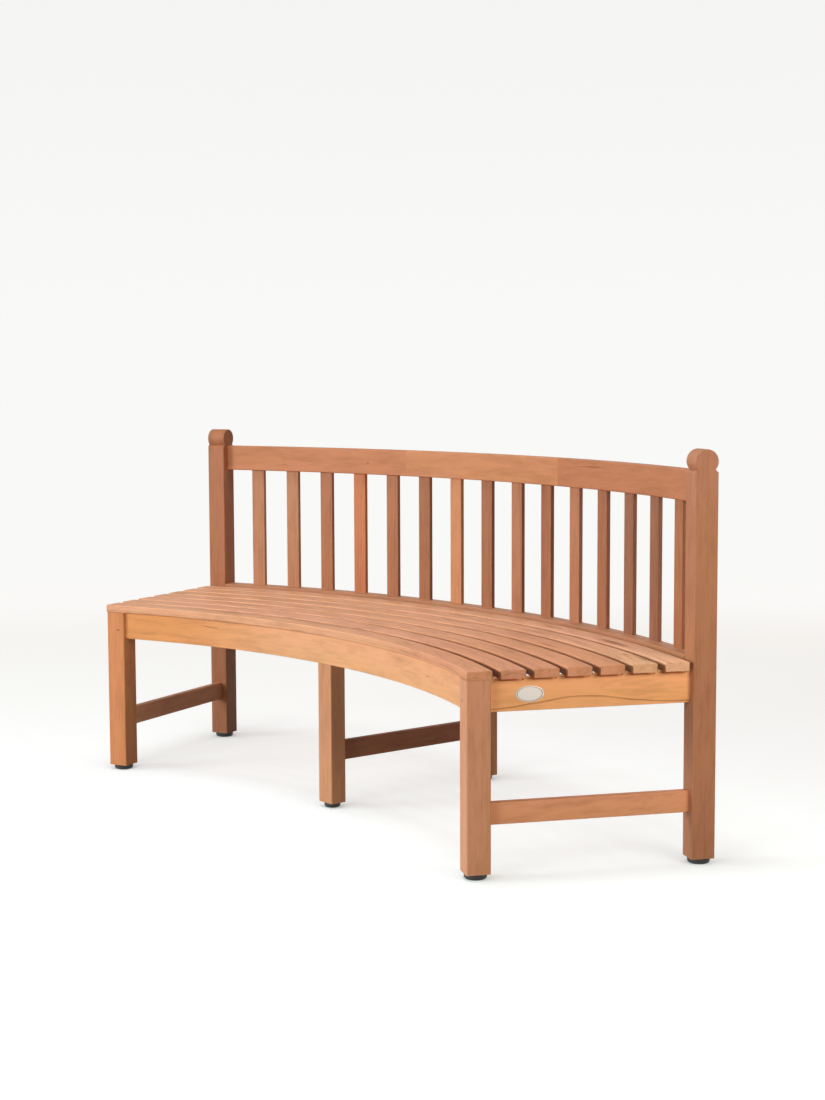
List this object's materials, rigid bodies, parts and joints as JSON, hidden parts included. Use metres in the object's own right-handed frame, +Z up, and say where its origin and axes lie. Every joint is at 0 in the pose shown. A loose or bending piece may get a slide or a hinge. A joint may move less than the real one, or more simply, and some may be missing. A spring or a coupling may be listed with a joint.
{
  "type": "curved garden bench",
  "caption": "Curved slatted wooden garden bench with a concave front, an upright-slatted back between posts with rolled tops, and square legs on round glides.",
  "frame": {"origin": "on the floor, under the middle of the bench's bounding box", "axes": "+X along the bench, from the sitter's left hand to the right hand as seen by someone who stands in front of it, +Y from the concave seat front to the back, +Z up"},
  "size_m": [1.9622, 0.7262, 0.9074],
  "materials": {
    "leg_wood": "sanded teak, matte",
    "rail_wood": "sanded teak, matte",
    "slat_wood": "sanded teak, matte",
    "back_wood": "sanded teak, matte",
    "dowel_wood": "turned teak, matte",
    "glide_plastic": "moulded, matte",
    "badge_metal": "brushed, bare"
  },
  "bodies": {
    "root": {"front_leg_left": "leg_wood", "front_leg_middle": "leg_wood", "front_leg_right": "leg_wood", "rear_leg_middle": "leg_wood", "rear_post_left": "leg_wood", "rear_post_right": "leg_wood", "side_rail_left": "rail_wood", "side_rail_right": "rail_wood", "cross_rail_middle": "rail_wood", "stretcher_left": "rail_wood", "stretcher_middle": "rail_wood", "stretcher_right": "rail_wood", "front_apron": "rail_wood", "rear_apron": "rail_wood", "lower_back_rail": "rail_wood", "seat_slat_1": "slat_wood", "seat_slat_2": "slat_wood", "seat_slat_3": "slat_wood", "seat_slat_4": "slat_wood", "seat_slat_5": "slat_wood", "seat_slat_6": "slat_wood", "seat_slat_7": "slat_wood", "top_rail_left": "back_wood", "top_rail_middle": "back_wood", "top_rail_right": "back_wood", "back_slat_01": "back_wood", "back_slat_02": "back_wood", "back_slat_03": "back_wood", "back_slat_04": "back_wood", "back_slat_05": "back_wood", "back_slat_06": "back_wood", "back_slat_07": "back_wood", "back_slat_08": "back_wood", "back_slat_09": "back_wood", "back_slat_10": "back_wood", "back_slat_11": "back_wood", "back_slat_12": "back_wood", "back_slat_13": "back_wood", "back_slat_14": "back_wood", "back_slat_15": "back_wood", "seat_dowels": "dowel_wood", "middle_leg_dowels": "dowel_wood", "top_rail_dowels": "dowel_wood", "apron_pegs": "dowel_wood", "glide_front_left": "glide_plastic", "glide_front_middle": "glide_plastic", "glide_front_right": "glide_plastic", "glide_rear_left": "glide_plastic", "glide_rear_middle": "glide_plastic", "glide_rear_right": "glide_plastic", "badge_plate": "badge_metal"}
  },
  "joints": []
}
